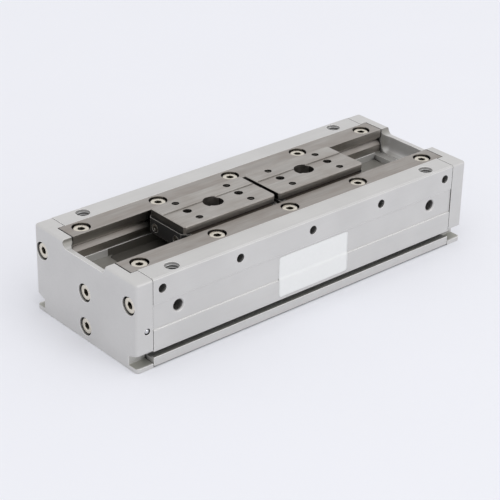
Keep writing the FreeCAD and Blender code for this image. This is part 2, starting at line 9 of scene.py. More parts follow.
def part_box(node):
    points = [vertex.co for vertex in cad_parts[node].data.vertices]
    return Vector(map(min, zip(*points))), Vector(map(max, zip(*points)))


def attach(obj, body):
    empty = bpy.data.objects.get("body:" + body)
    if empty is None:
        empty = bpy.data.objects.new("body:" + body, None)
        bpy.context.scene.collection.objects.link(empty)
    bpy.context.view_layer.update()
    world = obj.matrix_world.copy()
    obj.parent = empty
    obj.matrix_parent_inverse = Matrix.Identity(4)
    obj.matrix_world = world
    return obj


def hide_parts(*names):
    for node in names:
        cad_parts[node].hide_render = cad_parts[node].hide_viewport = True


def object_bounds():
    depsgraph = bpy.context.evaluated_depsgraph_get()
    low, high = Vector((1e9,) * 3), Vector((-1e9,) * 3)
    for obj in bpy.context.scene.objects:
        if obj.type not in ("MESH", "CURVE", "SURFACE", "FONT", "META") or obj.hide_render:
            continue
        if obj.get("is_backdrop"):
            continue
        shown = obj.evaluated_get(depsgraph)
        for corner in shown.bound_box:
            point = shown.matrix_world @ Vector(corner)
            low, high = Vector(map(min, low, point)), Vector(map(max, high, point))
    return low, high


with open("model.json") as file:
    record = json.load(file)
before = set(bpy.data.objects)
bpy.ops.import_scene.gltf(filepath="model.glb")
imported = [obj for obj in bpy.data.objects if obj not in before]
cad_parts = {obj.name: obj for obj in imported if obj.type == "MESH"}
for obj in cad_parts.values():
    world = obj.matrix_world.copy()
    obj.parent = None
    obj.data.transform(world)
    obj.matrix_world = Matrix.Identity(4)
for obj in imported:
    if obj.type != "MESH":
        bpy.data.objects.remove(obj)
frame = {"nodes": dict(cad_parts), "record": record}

bl_info = {
    "name": "Parallel gripper finish",
    "version": (1, 0, 0),
    "blender": (4, 5, 0),
    "location": "View3D > Sidebar > Gripper",
    "description": "Screws, threads, balls, label, finishes and studio of a parallel gripper",
    "category": "Object",
}

CAD_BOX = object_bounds()
MM = 0.001
SIDES = ("left", "right")
# Points round a screw, a multiple of six for its hexagon, and their angles
RING = 48
TURNS = [2 * math.pi * i / RING for i in range(RING)]


def linear(hex_colour):
    """sRGB hex to the linear values that shaders work in."""
    values = [int(hex_colour[i:i + 2], 16) / 255 for i in (1, 3, 5)]
    return tuple(v / 12.92 if v <= 0.04045 else ((v + 0.055) / 1.055) ** 2.4 for v in values)


def colour(name, words, hex_colour):
    """A colour that a user may change."""
    return bpy.props.FloatVectorProperty(
        name=name, description=words, subtype="COLOR", size=3, min=0.0, max=1.0,
        default=linear(hex_colour),
    )


def length(name, words, millimetres):
    """A length that a user may change."""
    return bpy.props.FloatProperty(
        name=name, description=words, subtype="DISTANCE", unit="LENGTH", min=0.0, precision=5,
        default=millimetres * MM,
    )


def angle(name, words, degrees):
    """An angle that a user may change."""
    return bpy.props.FloatProperty(
        name=name, description=words, subtype="ANGLE", default=math.radians(degrees)
    )


def strength(name, words, value):
    """A light's strength that a user may change."""
    return bpy.props.FloatProperty(name=name, description=words, min=0.0, default=value)


def vector(name, words, subtype, values):
    """A place in metres or a direction that a user may change."""
    return bpy.props.FloatVectorProperty(
        name=name, description=words, subtype=subtype, size=3, default=values
    )


class GripperFinishes(bpy.types.PropertyGroup):
    """Colours of the finishes."""

    anodised: colour("Anodised aluminium", "Body and end caps", "#cecdcb")
    # Painted shade in the drive bars' runs and on the channel wall above them
    run: colour("Shaded run", "Painted shade in the sunk runs of the drive bars", "#67645e")
    # Painted shade on the sensor grooves' lower lips
    groove: colour("Groove floor", "Mouths of the sensor grooves, with painted shade", "#94948f")
    # Painted shade on the end caps' sensor notches
    notch: colour("Notch floor", "Ends of the sensor grooves in the end caps", "#a6a69e")
    # Painted shade on the channel floor and on the scoops' walls in the end caps
    channel: colour("Channel", "Floors and walls by the jaws, with painted shade", "#9a9892")
    # Painted shade in the joint between an end cap and the body
    seam: colour("Joint line", "Fine relief between an end cap and the body", "#55534f")
    # Darker than cut aluminium, as painted shade in the narrow holes
    thread: colour("Thread in aluminium", "Narrow tapped holes of the body", "#6a6967")
    bright_thread: colour("Bright thread in aluminium", "Wide tapped holes of the body", "#c4c4c3")
    rail: colour("Ground stainless rail", "Guide rails", "#a7a39e")
    jaw: colour("Ground stainless jaw", "Jaws", "#b3b0ab")
    # Painted shade on the jaws' sides just under the top of the rails
    grease: colour("Jaw side shade", "Where the jaws run beside the rails", "#4a423b")
    bloom: colour("Brown bloom", "Faint warm patches on the ground steel", "#85786d")
    steel_thread: colour("Thread in steel", "Tapped holes of the jaws", "#8f8b85")
    screw: colour("Bright stainless", "Socket screws", "#d9d3c6")
    black_steel: colour("Black oxide steel", "Set screws and joint screws", "#3b3935")
    # Wear on the black oxide edges, and a painted glint on the edges of all these screws
    worn_steel_and_glint: colour("Worn steel and glint", "Edges of the set, joint and end plate screws", "#dcd8d0")
    small_screw: colour("Nickel-plated steel", "End plate screws", "#85827c")
    plastic: colour("Black plastic", "End plates of the jaws", "#121110")
    # Painted highlight on the end plates' edges
    edge_highlight: colour("Plastic edge highlight", "Painted highlight on the edges of the end plates", "#cfcac3")
    ball: colour("Bearing steel", "Balls", "#cfd0d2")
    drive: colour("Hardened steel", "Pinion, pins and drive bars", "#8d8d8f")
    piston: colour("Turned aluminium", "Pistons and pinion cover", "#c3c5c7")
    rubber: colour("Nitrile rubber", "Seals and bumpers", "#1b1b1c")
    wear: colour("Filled sliding plastic", "Wear rings", "#8a6a3c")
    ferrite: colour("Sintered ferrite", "Piston magnets", "#3a3a3d")
    label: colour("White film", "Blank label", "#e6e7e6")


class GripperSizes(bpy.types.PropertyGroup):
    """Sizes of the small pieces, and the places where a finish changes."""

    head_radius: length("Screw head radius", "M4 socket screw", 3.5)
    head_height: length("Screw head height", "M4 socket screw", 4.0)
    shank_radius: length("Screw shank radius", "M4 socket screw", 2.0)
    hexagon: length("Hexagon", "Width across flats of an M4 socket", 3.0)
    socket_depth: length("Socket depth", "M4 socket screw", 2.2)
    pitch: length("Thread pitch", "M4 thread", 0.7)
    small_head_radius: length("Small head radius", "End plate screw", 1.9)
    small_head_height: length("Small head height", "End plate screw", 1.1)
    small_shank_radius: length("Small shank radius", "End plate screw", 1.0)
    small_hexagon: length("Small hexagon", "Width across flats in an end plate screw", 1.3)
    small_socket_depth: length("Small socket depth", "End plate screw", 0.7)
    small_reach: length("Small screw reach", "Shank of an end plate screw", 5.9)
    small_pitch: length("Small thread pitch", "M2 thread", 0.4)
    port_pitch: length("Port thread pitch", "M5 thread", 0.8)
    top_pitch: length("Top hole thread pitch", "M8 thread", 1.25)
    thread_start: length("Thread start", "From a hole's mouth to its thread", 0.6)
    body_thread: length("Body thread depth", "Holes in the top and the base", 9.0)
    jaw_thread: length("Jaw thread depth", "Tool holes", 6.5)
    port_thread: length("Port thread depth", "Air ports", 6.0)
    port_start: length("Port thread start", "From the side face to a port's thread", 1.2)
    port_radius: length("Port radius", "M5 air port", 2.5)
    set_screw_radius: length("Set screw radius", "M4 set screw", 2.0)
    set_screw_hole: length("Set screw hole", "Radius of its tapped hole", 2.05)
    set_screw_thread: length("Set screw thread depth", "Tapped hole over a set screw", 4.0)
    middle_screw_high: length("Upper middle cap screw", "Height of its axis over the base", 22.53)
    ball_radius: length("Ball radius", "Guide ball", 1.588)
    ball_spacing: length("Ball spacing", "From ball to ball along a row", 3.3)
    label_left: length("Label left edge", "Distance from the middle towards the left", 19.0)
    label_right: length("Label right edge", "Distance from the middle towards the right", 21.4)
    label_low: length("Label lower edge", "Height over the base", 8.9)
    label_high: length("Label upper edge", "Height over the base", 28.1)
    label_corner: length("Label corner", "Radius of the label's corners", 1.2)
    label_film: length("Label film", "Thickness of the film", 0.08)
    label_glue: length("Label glue", "Thickness of the glue under the film", 0.01)
    panel_low: length("Panel lower edge", "Where the side face steps in", 17.4)
    panel_step: length("Panel step", "Depth of the step", 0.4)
    panel_ramp: length("Panel ramp", "Height over which the film goes down the step", 1.2)
    panel_lead: length("Panel lead", "How far under the step the ramp starts", 0.36)
    run_out: length("Run outer end", "Sunk run of a drive bar, from the middle outwards", 72.6)
    run_in: length("Run inner end", "Sunk run of a drive bar, past the middle", 20.4)
    run_side: length("Run inner side", "Sunk run of a drive bar, from the middle line", 4.9)
    run_depth: length("Run depth", "Sunk run of a drive bar, and a little more", 6.0)
    channel_side: length("Channel side", "Half the channel's width, less a little", 14.4)
    channel_floor: length("Channel floor", "Height over the base, less a little", 26.1)
    wall_band: length("Wall band", "Takes in the face of the channel's wall", 0.6)
    floor_band: length("Floor band", "Takes in the face of the channel's floor", 0.3)
    rail_foot: length("Rail foot", "Height over the base, less a little", 29.7)
    groove_floor: length("Groove floor", "Height of the sensor groove's lower lip", 4.7)
    groove_lip: length("Groove lip", "Depth of the sensor groove's mouth", 1.6)
    groove_rim: length("Groove rim", "Bright edge of the sensor groove's lower lip", 0.1)
    notch_floor: length("Notch floor", "Height of an end cap's sensor notch", 2.0)
    notch_depth: length("Notch depth", "Depth of an end cap's sensor notch", 5.6)
    notch_rim: length("Notch rim", "Bright edge of an end cap's sensor notch", 0.8)
    scoop_low: length("Scoop walls' foot", "Height over the base", 27.0)
    scoop_floor: length("Scoop floor", "Height over the base, with its rounded foot", 30.5)
    jaw_side: length("Jaw side", "Half the width of a jaw's top plate, less a little", 11.8)
    side_shade_low: length("Jaw side shade, lower edge", "Under the top of the rails", 1.0)
    side_shade_high: length("Jaw side shade, upper edge", "Under the top of the rails", 0.45)


class GripperStage(bpy.types.PropertyGroup):
    """Camera, floor and light."""

    floor: colour("Floor", "Plain pale floor", "#eeeff4")
    sky: colour("Backdrop", "Pale backdrop", "#f2f2f4")
    fill: strength("Fill", "Strength of the even light", 0.82)
    key: strength("Key", "Strength of the wide overhead light", 0.8)
    key_spread: angle("Key spread", "Width of the overhead light in the sky", 70)
    key_way: vector("Key way", "Where the overhead light shines", "DIRECTION", (0.1, 0.35, -1.0))
    front: strength("Front", "Power of the front lamp in watts", 2.3)
    front_width: length("Front width", "Width of the front lamp", 800)
    front_place: vector("Front place", "Where the lamp stands", "TRANSLATION", (0.35, -1.2, 0.5))
    front_aim: vector("Front aim", "Where the lamp points", "TRANSLATION", (0.0, 0.0, 0.02))
    azimuth: angle("Azimuth", "Camera's turn about the upright", -41.248)
    elevation: angle("Elevation", "Camera's height angle", 27.706)
    roll: angle("Roll", "Camera's turn about its own axis", 1.194)
    distance: length("Distance", "From the camera to the middle of the base, along its axis", 750.7)
    aside: length("Aside", "Shift of the object to the right of the picture's middle", 3.41)
    below: length("Below", "Shift of the object under the picture's middle", 9.987)
    lens: bpy.props.FloatProperty(
        name="Lens", description="Focal length on a 36 mm frame", subtype="DISTANCE_CAMERA",
        default=119.15,
    )


def add(tree, kind, inputs=None, **settings):
    """Add a node with its settings; an input is a value, a colour or a socket to link from."""
    made = tree.nodes.new(kind)
    for name, value in settings.items():
        setattr(made, name, value)
    for key, value in (inputs or {}).items():
        socket = made.inputs[key]
        if isinstance(value, bpy.types.NodeSocket):
            tree.links.new(value, socket)
        elif socket.type == "RGBA":
            socket.default_value = (*value, 1.0)
        else:
            socket.default_value = value
    return made


def shade(rgb, factor):
    """A darker or lighter copy of a colour."""
    return tuple(min(1.0, v * factor) for v in rgb)


def start_material(name):
    """Empty material, with Object coordinates in metres."""
    material = bpy.data.materials.new(name)
    material.use_nodes = True
    tree = material.node_tree
    tree.nodes.clear()
    place = add(tree, "ShaderNodeTexCoord").outputs["Object"]
    return material, tree, place


def close_material(tree, tint, grain, rough, relief, normal, metallic=0.0):
    """Shader whose grain sets the gloss between two roughnesses and stands up by the relief."""
    span = {"Value": grain, "To Min": rough[0], "To Max": rough[1]}
    gloss = add(tree, "ShaderNodeMapRange", span).outputs["Result"]
    height = {"Height": grain, "Distance": relief, "Normal": normal}
    raised = add(tree, "ShaderNodeBump", height).outputs["Normal"]
    shader = add(
        tree, "ShaderNodeBsdfPrincipled",
        {"Base Color": tint, "Metallic": metallic, "Roughness": gloss, "Normal": raised},
    )
    add(tree, "ShaderNodeOutputMaterial", {"Surface": shader.outputs["BSDF"]})


def softened_edges(tree, width):
    """Normal that rounds sharp edges a little, and a mask of where it does.

    The mask grows with the turn between the two normals, by its cosine.
    """
    rounded = add(tree, "ShaderNodeBevel", {"Radius": width}, samples=6).outputs["Normal"]
    true = add(tree, "ShaderNodeNewGeometry").outputs["Normal"]
    same = add(tree, "ShaderNodeVectorMath", {0: rounded, 1: true}, operation="DOT_PRODUCT")
    turned = {"Value": same.outputs["Value"], "From Min": 0.99, "From Max": 0.8}
    return rounded, add(tree, "ShaderNodeMapRange", turned).outputs["Result"]


def recess_shade(tree, depth, mouth=0.5, bottom=0.3):
    """Mask for painted shade: one deep in holes and gaps narrower than the depth, zero on open
    faces and in plain corners.

    The mouth and the bottom are how open a face is where the darkening starts and ends.
    """
    shadow = add(tree, "ShaderNodeAmbientOcclusion", {"Distance": depth}, samples=8)
    hidden = {"Value": shadow.outputs["AO"], "From Min": mouth, "From Max": bottom}
    return add(tree, "ShaderNodeMapRange", hidden).outputs["Result"]


def pattern(tree, place, patch, most=1.0):
    """Value from zero to the most that wanders over patches of the given size along X, Y and Z.

    The noise keeps mostly near its middle, so that part of it is spread over the whole range.
    """
    patches = {"Vector": place, "Scale": [1 / size for size in patch]}
    scaled = add(tree, "ShaderNodeMapping", patches).outputs["Vector"]
    noise = add(tree, "ShaderNodeTexNoise", {"Vector": scaled, "Scale": 1.0, "Detail": 3.0})
    spread = {"Value": noise.outputs["Fac"], "From Min": 0.3, "From Max": 0.7, "To Max": most}
    return add(tree, "ShaderNodeMapRange", spread).outputs["Result"]


def layered(tree, base, *layers):
    """Colour with layers over it: each is a mask and the colour that shows where it is one."""
    for mask, tint in layers:
        pair = {0: mask, 6: base, 7: tint}
        base = add(tree, "ShaderNodeMix", pair, data_type="RGBA").outputs[2]
    return base


def inside(tree, *limits):
    """One where every value lies between its two limits."""
    mask = 1.0
    for value, low, high in limits:
        span = {0: value, 1: (low + high) / 2, 2: (high - low) / 2}
        fits = add(tree, "ShaderNodeMath", span, operation="COMPARE").outputs[0]
        mask = add(tree, "ShaderNodeMath", {0: mask, 1: fits}, operation="MULTIPLY").outputs[0]
    return mask


def without_signs(tree, values):
    """X, Y and Z of a place or normal without their signs, so that a mask holds on both sides."""
    size = add(tree, "ShaderNodeVectorMath", {0: values}, operation="ABSOLUTE").outputs["Vector"]
    parts = add(tree, "ShaderNodeSeparateXYZ", {"Vector": size})
    return [parts.outputs[axis] for axis in "XYZ"]


def run_shade_mask(tree, place):
    """Mask for painted shade: one on the floor of the drive bars' runs and on the channel wall
    above them.

    The two runs are alike after half a turn about Z, so X is taken with the sign of Y.
    """
    sizes = bpy.context.scene.gripper_sizes
    parts = add(tree, "ShaderNodeSeparateXYZ", {"Vector": place})
    x, y, z = (parts.outputs[axis] for axis in "XYZ")
    side = add(tree, "ShaderNodeMath", {0: y}, operation="SIGN").outputs[0]
    aside = add(tree, "ShaderNodeMath", {0: y}, operation="ABSOLUTE").outputs[0]
    along = add(tree, "ShaderNodeMath", {0: x, 1: side}, operation="MULTIPLY").outputs[0]
    reach = (along, -sizes.run_out, sizes.run_in)
    wall_y = (sizes.channel_side, sizes.channel_side + sizes.wall_band)
    floor_z = (sizes.channel_floor - sizes.run_depth, sizes.channel_floor)
    floor = inside(tree, reach, (aside, sizes.run_side, wall_y[1]), (z, *floor_z))
    wall = inside(tree, reach, (aside, *wall_y), (z, sizes.channel_floor, sizes.rail_foot))
    return add(tree, "ShaderNodeMath", {0: floor, 1: wall}, operation="MAXIMUM").outputs[0]


def channel_shade_mask(tree, place):
    """Mask for painted shade: one on the floor of the channel between the rails."""
    sizes = bpy.context.scene.gripper_sizes
    _, y, z = without_signs(tree, place)
    across = (y, 0.0, sizes.channel_side + sizes.wall_band)
    return inside(tree, across, (z, sizes.channel_floor, sizes.channel_floor + sizes.floor_band))


def floor_mask(tree, place, floor, depth, rim):
    """Mask for painted shade: one on the flat floor of a groove along both long sides, short of the
    rim at its edge.
    """
    past, under, over = 0.05 * MM, 0.03 * MM, 0.1 * MM
    _, y, z = without_signs(tree, place)
    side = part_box("body_block")[1].y
    across = (y, side - depth - past, side - rim)
    return inside(tree, across, (z, floor - under, floor + over))


def groove_shade_mask(tree, place):
    """Mask for painted shade: one on the lower lip of the sensor grooves."""
    sizes = bpy.context.scene.gripper_sizes
    return floor_mask(tree, place, sizes.groove_floor, sizes.groove_lip, sizes.groove_rim)


def notch_shade_mask(tree, place):
    """Mask for painted shade: one on the floor of the sensor notches in the end caps."""
    sizes = bpy.context.scene.gripper_sizes
    return floor_mask(tree, place, sizes.notch_floor, sizes.notch_depth, sizes.notch_rim)


def scoop_shade_mask(tree, place):
    """Mask for painted shade: one on the walls of the scoop and its dip that face the middle line,
    a half on its floor.

    A wall is told by how square it stands to Y and the floor by how square it lies to Z.
    """
    sizes = bpy.context.scene.gripper_sizes
    facing = add(tree, "ShaderNodeNewGeometry").outputs["Normal"]
    _, wall, flat = without_signs(tree, facing)
    _, y, z = without_signs(tree, place)
    low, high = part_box("far_guide_rail")
    past = 0.2 * MM
    masks = []
    for square, top, most in ((wall, high.z, 1.0), (flat, sizes.scoop_floor, 0.5)):
        turned = {"Value": square, "From Min": 0.2, "From Max": 0.9, "To Max": most}
        soft = add(tree, "ShaderNodeMapRange", turned).outputs["Result"]
        within = inside(tree, (y, 0.0, low.y + past), (z, sizes.scoop_low, top))
        both = add(tree, "ShaderNodeMath", {0: soft, 1: within}, operation="MULTIPLY")
        masks.append(both.outputs[0])
    return add(tree, "ShaderNodeMath", dict(enumerate(masks)), operation="MAXIMUM").outputs[0]


def seam_shade_mask(tree, place):
    """Mask for painted shade: one in the fine relief round an end cap, where it meets the body
    beside the rails.
    """
    face, relief, notch_gap, past = 0.02 * MM, 0.32 * MM, 0.35 * MM, 0.1 * MM
    x, y, _ = without_signs(tree, place)
    joint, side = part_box("body_block")[1].xy
    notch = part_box("far_guide_rail")[1].y + notch_gap
    return inside(tree, (x, joint + face, joint + relief), (y, notch, side + past))


def jaw_side_shade_mask(tree, place):
    """Mask for painted shade: one on a narrow band of a jaw's long sides, a little under the top of
    the rails.
    """
    sizes = bpy.context.scene.gripper_sizes
    _, y, z = without_signs(tree, place)
    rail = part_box("near_guide_rail")[1].z
    across = (y, sizes.jaw_side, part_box("left_jaw")[1].y)
    return inside(tree, across, (z, rail - sizes.side_shade_low, rail - sizes.side_shade_high))


def end_face_shade(tree, place):
    """Mask for painted shade: one on the faces square to the guide and on the broken edges at the
    ends of the rails.
    """
    square, broken, past = (0.95, 1.05), 0.4 * MM, 0.1 * MM
    facing = add(tree, "ShaderNodeNewGeometry").outputs["Normal"]
    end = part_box("near_guide_rail")[1].x
    masks = []
    for values, low, high in ((facing, *square), (place, end - broken, end + past)):
        along = without_signs(tree, values)[0]
        masks.append(inside(tree, (along, low, high)))
    return add(tree, "ShaderNodeMath", dict(enumerate(masks)), operation="MAXIMUM").outputs[0]


def anodised_aluminium(name, rgb, *spots):
    """Clear-anodised aluminium, machined all over: the oxide spreads the shine to a satin grey.

    The cutter's lines along X are far finer than a pixel, so they are drawn about a millimetre
    wide. The edges get a painted highlight, and holes and narrow gaps a painted shade. Each
    spot is a mask and its colour, a painted shade.
    """
    material, tree, place = start_material(name)
    normal, edge = softened_edges(tree, 0.5 * MM)
    streaks = pattern(tree, place, (40 * MM, 1.1 * MM, 1.1 * MM))
    patches = pattern(tree, place, (22 * MM, 22 * MM, 22 * MM))
    tint = layered(
        # Random tone patches, then a painted highlight on the edges
        tree, shade(rgb, 0.96), (patches, shade(rgb, 1.03)), (edge, shade(rgb, 1.6)),
        # Painted shade in holes and narrow gaps
        (recess_shade(tree, 5.2 * MM), shade(rgb, 0.15)),
        *((mask(tree, place), tone) for mask, tone in spots),
    )
    close_material(tree, tint, streaks, (0.40, 0.50), 0.0005 * MM, normal, metallic=0.55)
    return material


def ground_stainless(name, rgb, bloom, *spots):
    """Hardened stainless steel, ground lengthwise: warm grey with long scratches and a faint bloom.

    Grinding lines are drawn a millimetre wide so that they show. The edges get a painted
    highlight; the end faces, the rails' end edges, holes and narrow gaps get a painted shade.
    Each spot is a mask and its colour, a painted shade.
    """
    material, tree, place = start_material(name)
    normal, edge = softened_edges(tree, 0.25 * MM)
    streaks = pattern(tree, place, (35 * MM, 1.0 * MM, 1.0 * MM))
    patches = pattern(tree, place, (14 * MM, 5 * MM, 5 * MM), most=0.4)
    tint = layered(
        tree, shade(rgb, 0.87), (streaks, shade(rgb, 1.13)), (patches, bloom),
        # Painted highlight on the edges
        (edge, shade(rgb, 1.4)),
        *((mask(tree, place), tone) for mask, tone in spots),
        # Painted shade on the end faces and on the rails' end edges
        (end_face_shade(tree, place), shade(rgb, 0.3)),
        # Painted shade in narrow steps and gaps, then in deeper holes
        (recess_shade(tree, 0.9 * MM, mouth=0.68), shade(rgb, 0.15)),
        (recess_shade(tree, 4 * MM, mouth=0.56), shade(rgb, 0.05)),
    )
    close_material(tree, tint, streaks, (0.30, 0.44), 0.001 * MM, normal, metallic=1.0)
    return material


def plain_metal(name, rgb, edge_wear_and_glint, rough, grain, deep=0.03):
    """Machined or formed metal with a fine even grain, and brighter edges from wear and a painted
    glint.

    The grain is the size of one speck, drawn coarser than the real one so that it shows. Deep is
    how much of the colour is left down in a hole, as painted shade.
    """
    material, tree, place = start_material(name)
    normal, edge = softened_edges(tree, 0.15 * MM)
    specks = pattern(tree, place, (grain, grain, grain))
    tint = layered(
        # Brighter edges: wear, and a painted glint
        tree, shade(rgb, 0.93), (specks, shade(rgb, 1.05)), (edge, edge_wear_and_glint),
        # Painted shade down in holes
        (recess_shade(tree, 3 * MM, mouth=0.6), shade(rgb, deep)),
    )
    close_material(tree, tint, specks, rough, 0.0004 * MM, normal, metallic=1.0)
    return material


def moulded(name, rgb, edge_highlight, rough, grain):
    """Moulded plastic or rubber, or pressed ferrite: dull, with a fine grain, and edges in their
    own colour or a pale painted highlight.

    The grain is that of a spark-eroded mould, drawn coarser so that it shows.
    """
    material, tree, place = start_material(name)
    normal, edge = softened_edges(tree, 0.35 * MM)
    bubbles = add(tree, "ShaderNodeTexVoronoi", {"Vector": place, "Scale": 1 / grain})
    cells = bubbles.outputs["Distance"]
    # Random grain, then a painted highlight on the edges
    tint = layered(tree, shade(rgb, 0.85), (cells, shade(rgb, 1.15)), (edge, edge_highlight))
    close_material(tree, tint, cells, rough, 0.003 * MM, normal)
    return material


def white_film(name, rgb):
    """White label film: smooth, with a faint orange-peel from the laminate."""
    material, tree, place = start_material(name)
    normal, edge = softened_edges(tree, 0.05 * MM)
    peel = pattern(tree, place, (1.5 * MM, 1.5 * MM, 1.5 * MM))
    tint = layered(tree, shade(rgb, 0.98), (peel, rgb), (edge, shade(rgb, 0.95)))
    close_material(tree, tint, peel, (0.32, 0.4), 0.0005 * MM, normal)
    return material


def finish(name):
    """The named finish, made once."""
    if name in bpy.data.materials:
        return bpy.data.materials[name]
    tones = bpy.context.scene.gripper_finishes
    fine, coarse = 0.6 * MM, 0.8 * MM
    makers = {
        # Satin grey, with painted shade in the sensor grooves and notches, the channel, the drive
        # bars' runs, the scoops and the joints
        "Satin anodised body": (
            anodised_aluminium, tones.anodised, (groove_shade_mask, tones.groove),
            (channel_shade_mask, tones.channel), (run_shade_mask, tones.run),
        ),
        "Satin anodised end cap": (
            anodised_aluminium, tones.anodised, (notch_shade_mask, tones.notch),
            (scoop_shade_mask, tones.channel), (seam_shade_mask, tones.seam),
        ),
        # Warm grey with scratches along the guide, and a band of painted shade on the jaws' sides
        "Ground stainless rail": (ground_stainless, tones.rail, tones.bloom),
        "Ground stainless jaw": (
            ground_stainless, tones.jaw, tones.bloom, (jaw_side_shade_mask, tones.grease),
        ),
        # Clear bright shine, a little warm
        "Bright stainless screw": (
            plain_metal, tones.screw, shade(tones.screw, 1.2), (0.2, 0.32), fine,
        ),
        # Dark skin that wears to bright steel at the edges, with a painted glint there
        "Black oxide steel": (
            plain_metal, tones.black_steel, tones.worn_steel_and_glint, (0.25, 0.4), fine,
        ),
        # Hard grey shine of a thin plating, with a painted glint at the edges
        "Nickel-plated steel": (
            plain_metal, tones.small_screw, tones.worn_steel_and_glint, (0.15, 0.25), fine,
        ),
        # Nearly a mirror
        "Polished bearing steel": (plain_metal, tones.ball, tones.ball, (0.06, 0.12), coarse),
        # Dull grey from hardening
        "Hardened drive steel": (
            plain_metal, tones.drive, shade(tones.drive, 1.2), (0.3, 0.42), coarse,
        ),
        # Pale and soft in its shine
        "Turned aluminium": (
            plain_metal, tones.piston, shade(tones.piston, 1.1), (0.28, 0.4), coarse,
        ),
        # Bare cut metal with painted shade down the hole, the less the wider the hole is
        "Cut thread in aluminium": (
            plain_metal, tones.thread, shade(tones.thread, 1.3), (0.35, 0.5), fine, 0.2,
        ),
        "Bright thread in aluminium": (
            plain_metal, tones.bright_thread, shade(tones.bright_thread, 1.2), (0.3, 0.4), fine,
            0.7,
        ),
        "Cut thread in steel": (
            plain_metal, tones.steel_thread, shade(tones.steel_thread, 1.3), (0.35, 0.5), fine,
            0.1,
        ),
        # Dull and fine-grained; only the end plates get a pale painted highlight at their edges
        "Moulded black plastic": (moulded, tones.plastic, tones.edge_highlight, (0.55, 0.7), fine),
        "Nitrile rubber": (moulded, tones.rubber, tones.rubber, (0.6, 0.75), fine),
        "Filled sliding plastic": (moulded, tones.wear, tones.wear, (0.45, 0.6), fine),
        "Sintered ferrite": (moulded, tones.ferrite, tones.ferrite, (0.5, 0.65), fine),
        "White label film": (white_film, tones.label),
    }
    make, *values = makers[name]
    return make(name, *values)


def dress(material_name, *nodes):
    """Give CAD nodes a finish."""
    for node in nodes:
        mesh = frame["nodes"][node].data
        mesh.materials.clear()
        mesh.materials.append(finish(material_name))


def link(name, data):
    """New object in the scene."""
    made = bpy.data.objects.new(name, data)
    bpy.context.scene.collection.objects.link(made)
    return made


def points_object(name, places):
    """Bare points that a geometry tree sets its pieces on."""
    mesh = bpy.data.meshes.new(name)
    mesh.from_pydata([tuple(place) for place in places], [], [])
    return link(name, mesh)


def evenly(low, high, count):
    """Evenly spaced values from the low one to the high one."""
    return [low + (high - low) * i / (count - 1) for i in range(count)]


def new_tree(name, sockets):
    """Geometry node tree with named inputs; returns the tree and those inputs."""
    tree = bpy.data.node_groups.new(name, "GeometryNodeTree")
    tree.interface.new_socket("Geometry", in_out="OUTPUT", socket_type="NodeSocketGeometry")
    tree.interface.new_socket("Geometry", in_out="INPUT", socket_type="NodeSocketGeometry")
    for label, kind in sockets:
        tree.interface.new_socket(label, in_out="INPUT", socket_type=kind)
    return tree, add(tree, "NodeGroupInput").outputs


def end_tree(tree, given, points, piece, **turn):
    """Put a piece on every point; Realize Instances and Set Material close every tree."""
    spots = {"Points": points, "Instance": piece, **turn}
    placed = add(tree, "GeometryNodeInstanceOnPoints", spots).outputs["Instances"]
    real = add(tree, "GeometryNodeRealizeInstances", {"Geometry": placed}).outputs["Geometry"]
    plain = {"Geometry": real, "Material": given["Material"]}
    painted = add(tree, "GeometryNodeSetMaterial", plain).outputs["Geometry"]
    add(tree, "NodeGroupOutput", {0: painted})
    return tree


def keep_result(piece):
    """Make what a piece's modifiers give its plain mesh."""
    graph = bpy.context.evaluated_depsgraph_get()
    mesh = bpy.data.meshes.new_from_object(piece.evaluated_get(graph), depsgraph=graph)
    piece.modifiers.clear()
    if not mesh.polygons:
        raise RuntimeError(piece.name + " came out empty")
    piece.data = mesh


def bake(piece, name, make, values):
    """Run the named tree, made on its first use, on a piece and keep the result."""
    tree = bpy.data.node_groups.get(name) or make(name)
    modifier = piece.modifiers.new(name, "NODES")
    modifier.node_group = tree
    for item in tree.interface.items_tree:
        if item.in_out == "INPUT" and item.name in values:
            modifier[item.identifier] = values[item.name]
    keep_result(piece)


def screw_tree(name):
    """Screws on points, all along one direction, each turned by chance about its own axis."""
    sockets = [
        ("Screw", "NodeSocketObject"), ("Way", "NodeSocketVector"), ("Seed", "NodeSocketInt"),
        ("Material", "NodeSocketMaterial"),
    ]
    tree, given = new_tree(name, sockets)
    screw = {"Object": given["Screw"], "As Instance": True}
    model = add(tree, "GeometryNodeObjectInfo", screw).outputs["Geometry"]
    aim = add(tree, "FunctionNodeAlignRotationToVector", {"Vector": given["Way"]}, axis="Z")
    sixth = {2: 0.0, 3: math.pi / 3, "Seed": given["Seed"]}
    chance = add(tree, "FunctionNodeRandomValue", sixth, data_type="FLOAT")
    about = {"Axis": (0, 0, 1), "Angle": chance.outputs[1]}
    spin = add(tree, "FunctionNodeAxisAngleToRotation", about)
    turns = {"Rotation": aim.outputs["Rotation"], "Rotate By": spin.outputs["Rotation"]}
    turned = add(tree, "FunctionNodeRotateRotation", turns, rotation_space="LOCAL")
    return end_tree(tree, given, given["Geometry"], model, Rotation=turned.outputs["Rotation"])


